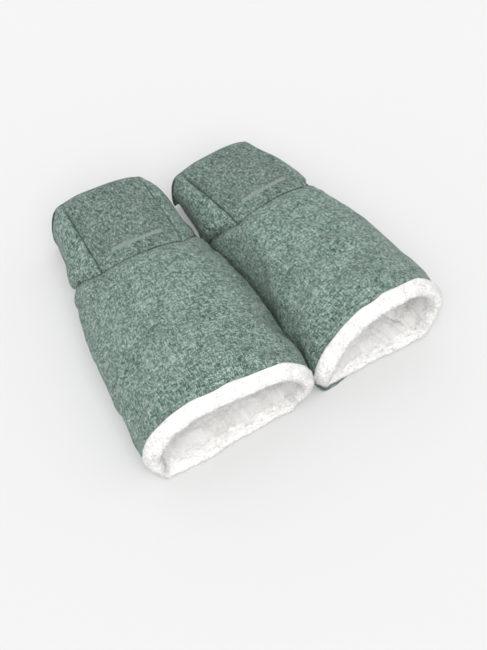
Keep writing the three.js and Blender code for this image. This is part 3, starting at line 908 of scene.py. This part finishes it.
def gusset(muff, hand):
    """A side panel of the hood, on the right (hand 1) or the left (hand -1)."""
    columns, rows = 80, 120
    u, v = np.meshgrid(crowded(columns), crowded(rows), indexing="ij")
    low = SLOT_EDGE[0] + (SLOT_EDGE[1] - SLOT_EDGE[0]) * v
    under = UNDERLAP / GIRTH
    right_share = low + (RIGHT_CORNER + under - low) * u
    share = on_side(right_share, hand)
    far_z = muff.skin(share, FOLD_Y)[..., 2]
    far = muff.end_y(far_z) - GUSSET_STOP
    start = muff.seam(share)
    y = start + (far - start) * v
    top_edge = (RIGHT_CORNER - right_share) * GIRTH
    dip = 3.3 * np.where(top_edge < 0, 1, valley(top_edge, 1, 3.0))
    dip = np.maximum(dip, valley(y - start, TOP_DIP, 3.0)) + valley(far - y, 1.5, 3.5)
    bulge, place = GUSSET_BULGE[muff.side][int(hand > 0)]
    pucker = 3.0 * np.abs(soft_noise(top_edge / 8, y / 30, 61 + hand))
    pucker = pucker * valley(y - start - 9, 1, 17)
    rise = 1.2 * soft_noise(u * 2.5, y / 30, 63 + hand)
    rise = rise + 0.5 * soft_noise(u * 7, y / 12, 65 + hand)
    swell = np.sin(math.pi * np.clip(u, 0, 1) ** 1.5) * np.sin(math.pi * v**place)
    rise = rise + pucker + bulge * np.maximum(swell, 0)
    rise = rise * smooth(top_edge / 6) * smooth((y - start) / 7) * smooth((far - y) / 8)
    outer = muff.skin(share, y, dip - rise)
    inner = muff.skin(share, y, dip - rise + CLOTH)
    if hand < 0:
        outer, inner, y, u = outer[::-1], inner[::-1], y[::-1], u[::-1]
    name = HAND_NAMES[hand]
    piece = slab(f"{muff.side}_gusset_{name}_cloth", muff.place(outer), muff.place(inner),
                 np.stack([u * GUSSET_WIDTH * hand, y], -1), MATERIALS["cloth"])
    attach(piece, f"{muff.side}_muff")
    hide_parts(f"{muff.side}_gusset_{name}")


def tube(points, width, thickness, sides=10):
    """Points of a closed oval tube along a line of points."""
    along = np.gradient(points, axis=0)
    along /= np.linalg.norm(along, axis=-1, keepdims=True)
    side = np.cross(along, (0, 0, 1.0))
    side /= np.linalg.norm(side, axis=-1, keepdims=True) + 1e-9
    other = np.cross(side, along)
    turn = np.linspace(0, 2 * math.pi, sides, endpoint=False)
    oval = thickness / 2 * side[:, None] * np.cos(turn)[:, None]
    return points[:, None] + oval + width / 2 * other[:, None] * np.sin(turn)[:, None]


def tube_piece(muff, name, points, width, thickness, material):
    rings = tube(points, width, thickness)
    count, sides = rings.shape[:2]
    faces = [*grid_faces(count, sides, wrap_v=True)]
    last = (count - 1) * sides
    faces += [tuple(range(sides)), tuple(range(last + sides - 1, last - 1, -1))]
    step, wrap = 1.5, 0.8
    uv = np.meshgrid(np.arange(count) * step, np.arange(sides) * wrap, indexing="ij")
    piece = new_piece(f"{muff.side}_{name}", muff.place(rings).reshape(-1, 3), faces, material,
                      np.stack(uv, -1).reshape(-1, 2))
    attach(piece, f"{muff.side}_muff")


def slot_hem(muff, hand):
    """The bound edge round the bar slot: up the sleeve's end and along the gusset's lower edge."""
    rising = np.linspace(SLOT_START, SLOT_EDGE[0], 16)[:-1]
    along = np.linspace(0, 1, 60)
    low = SLOT_EDGE[0] + (SLOT_EDGE[1] - SLOT_EDGE[0]) * along
    shares = on_side(np.concatenate([rising, low]), hand)
    seam = muff.seam(shares)
    far_z = muff.skin(shares, FOLD_Y)[:, 2]
    v = np.concatenate([np.zeros(len(rising)), along])
    y = seam + (muff.end_y(far_z) - HEM_STOP - seam) * v
    depth = np.where(v > 0, 0.6, 2.4)
    points = muff.skin(shares, y, depth)
    for _ in range(3):
        points[1:-1] = (points[:-2] + 2 * points[1:-1] + points[2:]) / 4
    width, thickness, lowest = 3.4, 2.6, 1.9
    points[:, 2] = np.maximum(points[:, 2], lowest)
    tube_piece(muff, f"slot_hem_{HAND_NAMES[hand]}", points, width, thickness, MATERIALS["cloth"])


def fleece_slab(muff, name, body, outer, inner, nodes, tufts):
    """A fleece layer whose inner face has pile."""
    columns, rows = inner.shape[:2]
    i, j = np.meshgrid(np.arange(columns), np.arange(rows), indexing="ij")
    normal = outward(inner)
    if np.sum(normal * (inner - outer)) < 0:
        normal = -normal
    edge = np.minimum.reduce([i, j, columns - 1 - i, rows - 1 - j])
    pile = 0.5 * soft_noise(i / 3.4, j / 3.4, 70) + 0.4 * soft_noise(i / 1.8, j / 1.8, 71)
    inner = inner + normal * (pile * smooth(edge / 3))[..., None]
    thinned = (1 - smooth((edge + 0.5) / 4))[..., None]
    inner = inner * (1 - 0.6 * thinned) + outer * 0.6 * thinned
    uv = np.stack([i, j], -1).astype(float)
    piece = slab(f"{muff.side}_{name}", muff.place(outer), muff.place(inner), uv,
                 MATERIALS["fleece"])
    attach(piece, f"{muff.side}_{body}")
    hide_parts(*(f"{muff.side}_{node}" for node in nodes))
    middle = (slice(2, -2), slice(2, -2))
    fleece_pile(muff, f"{name}_pile", body, inner[middle], normal[middle], tufts, 1)


def hood_fleece(muff):
    """The fleece under the crown and both gussets."""
    columns, rows = 150, 80
    u, v = np.meshgrid(np.linspace(0, 1, columns), np.linspace(0, 1, rows), indexing="ij")
    low = SLOT_EDGE[0] + 0.006 + (SLOT_EDGE[1] - SLOT_EDGE[0]) * v
    share = low + (1 - 2 * low) * u
    far_z = muff.skin(share, FOLD_Y)[..., 2]
    stop = np.minimum(muff.end_y(far_z) - HOOD_FLEECE_STOP, FOLD_Y - 3)
    start = muff.seam(share) - 2
    y = start + (stop - start) * v
    outer, inner = (muff.skin(share, y, depth) for depth in HOOD_FLEECE)
    fleece_slab(muff, "hood_fleece", "muff", outer, inner, ["hood_lining"], 4000)


def flap_fleece(muff):
    """The fleece inside the end flap, down to the studs."""
    bottom = FLAP_FLEECE_BOTTOM
    whole = CROWN_LENGTH + TURN_LENGTH + flap_drop(muff, bottom)
    u, travelled = np.meshgrid(np.linspace(0.01, 0.99, 64),
                               np.linspace(CROWN_LENGTH + 1, whole, 60), indexing="ij")
    outer, inner = (hood_top(muff, u, travelled, depth, FLAP_FLEECE_INSET, bottom)
                    for depth in FLAP_FLEECE)
    fleece_slab(muff, "flap_fleece", "flap", outer, inner, ["flap_lining"], 2500)


def tongue(muff):
    """The cloth below the push bar, with its upturned lip, and the fleece on it."""
    columns, rows = 60, 90
    u, v = np.meshgrid(np.linspace(0, 1, columns), np.linspace(0, 1, rows), indexing="ij")
    start = float(muff.seam(0)) + 0.4
    flat = END_Y - LIP_FACE - LIP_BEND - start
    arc = math.pi / 2 * LIP_BEND
    travelled = v * (flat + arc + LIP_HEIGHT - LIP_BEND)
    turn = np.clip((travelled - flat) / LIP_BEND, 0, math.pi / 2)
    floor = muff.station(start + np.minimum(travelled, flat)).floor_left - 1
    half = floor + (LIP_HALF_WIDTH - floor) * np.minimum(1, v * v)

    def layer(radius):
        y = start + np.minimum(travelled, flat) + radius * np.sin(turn)
        height = LIP_BEND - radius * np.cos(turn) + np.maximum(0, travelled - flat - arc)
        return np.stack([half * (2 * u - 1), y, height], -1)

    piece = slab(f"{muff.side}_tongue_cloth", muff.place(layer(LIP_BEND)),
                 muff.place(layer(LIP_BEND - TONGUE_THICKNESS)),
                 np.stack([u * TONGUE_WIDTH, travelled + start], -1), MATERIALS["cloth"])
    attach(piece, f"{muff.side}_muff")
    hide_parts(f"{muff.side}_tongue")

    u, v = np.meshgrid(np.linspace(0, 1, 70), np.linspace(0, 1, 44), indexing="ij")
    y = start + (END_Y - LIP_FACE - 2 * LIP_BEND - 2 - start) * v
    half = muff.station(y).floor_left - 8
    x = half * (2 * u - 1)
    outer = np.stack([x, y, np.full(x.shape, 1.9)], -1)
    inner = np.stack([x, y, 6.6 - 4.0 * smooth((np.abs(2 * u - 1) - 0.9) / 0.1)], -1)
    fleece_slab(muff, "tongue_fleece", "muff", outer, inner, ["tongue_lining"], 2500)


def print_bar(muff):
    """A plain pale bar printed on the crown, beside the cross seam."""
    u, travelled = np.meshgrid(np.linspace(*PRINT_ACROSS, 90), np.linspace(*PRINT_ALONG, 12),
                               indexing="ij")
    uv = np.stack([(u - 0.5) * CROWN_WIDTH, travelled], -1)
    top, under = (muff.place(hood_cloth(muff, u, travelled, proud)) for proud in PRINT_PROUD)
    piece = slab(f"{muff.side}_print_bar", top, under, uv, MATERIALS["ink"])
    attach(piece, f"{muff.side}_muff")


def bartacks(muff):
    """The dense stitching that gathers the gusset into the cross seam on each side."""
    turns = np.linspace(0, 1, 80)
    for hand, name in HAND_NAMES.items():
        share = on_side(BARTACK_SHARE, hand)
        y = float(muff.seam(share)) - 3 + 5 * turns
        wobble = share + 0.005 * np.sin(turns * 16 * math.pi)
        points = muff.skin(wobble, y, 0.6)
        tube_piece(muff, f"bartack_{name}", points, 1.6, 1.6, MATERIALS["thread"])


def side_seam_shade(muff):
    """Dark thread tubes sunk in the crown's side seams: painted shade, a dark line that stands in
    for the shade in each seam's groove.
    """
    for share, name in ((RIGHT_CORNER, "right"), (LEFT_CORNER, "left")):
        y = np.linspace(float(muff.seam(share)) + 3, FOLD_Y - 1, 70)
        points = muff.skin(share, y, 0.9 + 0.5 * soft_noise(y / 9, y * 0, 81))
        tube_piece(muff, f"crown_seam_{name}", points, 1.6, 1.4, MATERIALS["thread"])


def studs(muff):
    for name, node in frame["nodes"].items():
        if name.startswith(f"{muff.side}_snap"):
            node.data.materials.clear()
            node.data.materials.append(MATERIALS["metal"])


def build(muff):
    sleeve(muff)
    fleece(muff)
    crown_and_flap(muff)
    for hand in HAND_NAMES:
        gusset(muff, hand)
        slot_hem(muff, hand)
    hood_fleece(muff)
    flap_fleece(muff)
    tongue(muff)
    print_bar(muff)
    bartacks(muff)
    side_seam_shade(muff)
    studs(muff)


# ---- Camera, floor and light ----

AZIMUTH = math.radians(-32.4)
ELEVATION = math.radians(54)
DISTANCE = 1.33
TARGET = Vector((0.0016, -0.0387, 0))
LENS = 66.5
SENSOR_WIDTH = 36
FLOOR_HALF = 40
FLOOR_GREY = 0.5
FLOOR_GLOW = 0.2
ROOM_LIGHT = 0.92
KEY_PLACE = (-0.35, -0.8, 1.1)
KEY_POWER = 2.0
KEY_ANGLE = math.radians(50)


def camera():
    data = bpy.data.cameras.new("camera")
    data.lens = LENS
    data.sensor_width = SENSOR_WIDTH
    view = bpy.data.objects.new("camera", data)
    bpy.context.collection.objects.link(view)
    level = math.cos(ELEVATION)
    back = Vector((math.sin(AZIMUTH) * level, -math.cos(AZIMUTH) * level, math.sin(ELEVATION)))
    view.location = TARGET + back * DISTANCE
    view.rotation_euler = (-back).to_track_quat("-Z", "Y").to_euler()
    bpy.context.scene.camera = view


def stage():
    corners = [(FLOOR_HALF * a, FLOOR_HALF * b, 0) for a, b in ((-1, -1), (1, -1), (1, 1), (-1, 1))]
    mesh = bpy.data.meshes.new("floor")
    mesh.from_pydata(corners, [], [(0, 1, 2, 3)])
    floor = bpy.data.objects.new("floor", mesh)
    bpy.context.collection.objects.link(floor)
    grey = (FLOOR_GREY, FLOOR_GREY, FLOOR_GREY, 1)
    material, _, _, shader = new_material("pale_floor", 0.95, grey)
    shader.inputs["Emission Color"].default_value = (1, 1, 1, 1)
    shader.inputs["Emission Strength"].default_value = FLOOR_GLOW
    floor.data.materials.append(material)

    world = bpy.data.worlds.new("studio")
    bpy.context.scene.world = world
    world.use_nodes = True
    room = world.node_tree.nodes["Background"]
    room.inputs["Color"].default_value = (1, 1, 1, 1)
    room.inputs["Strength"].default_value = ROOM_LIGHT
    bpy.context.scene.view_settings.view_transform = "Standard"

    light = bpy.data.lights.new("key", "SUN")
    light.energy = KEY_POWER
    light.angle = KEY_ANGLE
    lamp = bpy.data.objects.new("key", light)
    bpy.context.collection.objects.link(lamp)
    lamp.location = KEY_PLACE
    lamp.rotation_euler = (-lamp.location).to_track_quat("-Z", "Y").to_euler()


camera()
stage()
for hand_side in ("left", "right"):
    build(Muff(hand_side))

bpy.context.view_layer.update()
